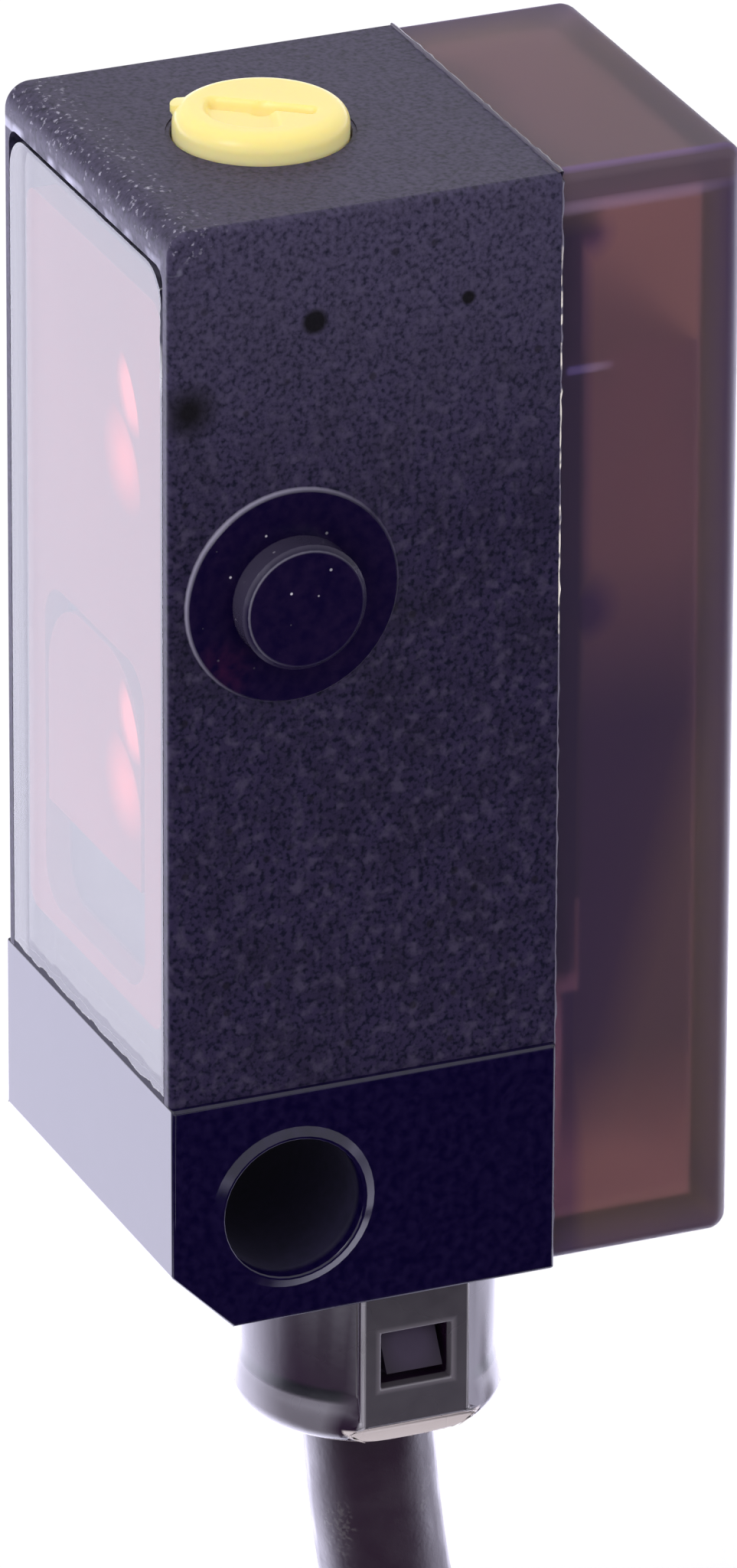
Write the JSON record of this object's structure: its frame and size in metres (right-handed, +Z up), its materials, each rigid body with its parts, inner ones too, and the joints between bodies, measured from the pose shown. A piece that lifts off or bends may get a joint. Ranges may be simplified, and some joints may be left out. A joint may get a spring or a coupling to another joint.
{
  "type": "reflective optical sensor",
  "caption": "Miniature block sensor with a clear front window over red lenses, a yellow range adjuster on top, a mounting hole through its base and a short cable with a plug.",
  "frame": {"origin": "on the axis of the mounting hole, halfway through the base block", "axes": "-Y out of the front window, +X out of the side with the latch window, +Z up, away from the cable"},
  "size_m": [0.0461, 0.0574, 0.0525],
  "materials": {
    "housing_plastic": "fine spark-eroded grain, dark plum black",
    "base_plastic": "smooth moulded, dark plum black",
    "cover_plastic": "clear plastic tinted pinkish brown",
    "window_plastic": "clear and polished",
    "lens_plastic": "red tinted, polished",
    "carrier_plastic": "black, as moulded",
    "board_laminate": "solder mask, satin",
    "emitter_epoxy": "clear epoxy",
    "chip_epoxy": "black epoxy, matt",
    "ceramic": "fired ceramic",
    "indicator_epoxy": "diffused epoxy",
    "potting_resin": "cast resin, reddish brown",
    "tinned_brass": "tinned",
    "seal_rubber": "moulded",
    "knob_plastic": "yellow, satin",
    "gland_plastic": "smooth moulded, black",
    "boot_plastic": "moulded on the cable",
    "core_brown": "brown insulation",
    "core_black": "black insulation",
    "core_blue": "blue insulation",
    "cable_jacket": "extruded jacket, satin black",
    "plug_plastic": "moulded grip, satin black",
    "plated_brass": "nickel plated",
    "insert_plastic": "black, as moulded",
    "gilt_brass": "gold plated"
  },
  "bodies": {
    "sensor": {"housing": "housing_plastic", "base_block": "base_plastic", "rear_cover": "cover_plastic", "front_window": "window_plastic", "lens_plate": "lens_plastic", "receiver_lens": "lens_plastic", "optics_carrier": "carrier_plastic", "circuit_board": "board_laminate", "emitter_led": "emitter_epoxy", "receiver_chip": "chip_epoxy", "control_chip": "chip_epoxy", "regulator": "chip_epoxy", "capacitors": "ceramic", "resistors": "ceramic", "power_indicator": "indicator_epoxy", "output_indicator": "indicator_epoxy", "resin": "potting_resin", "potentiometer": "chip_epoxy", "potentiometer_terminals": "tinned_brass", "seal_ring": "seal_rubber", "cable_gland": "gland_plastic", "cable_boot": "boot_plastic", "core_brown": "core_brown", "core_black": "core_black", "core_blue": "core_blue", "cable": "cable_jacket", "plug_grip": "plug_plastic", "plug_sleeve": "plated_brass", "plug_insert": "insert_plastic", "plug_pins": "gilt_brass"},
    "adjuster": {"adjuster_knob": "knob_plastic"}
  },
  "joints": [
    {"name": "range_adjuster", "type": "hinge", "parent": "sensor", "child": "adjuster", "pos_m": [0, 0.0013, 0.0242], "axis": [0, 0, 1], "range_deg": [-135, 135]}
  ]
}
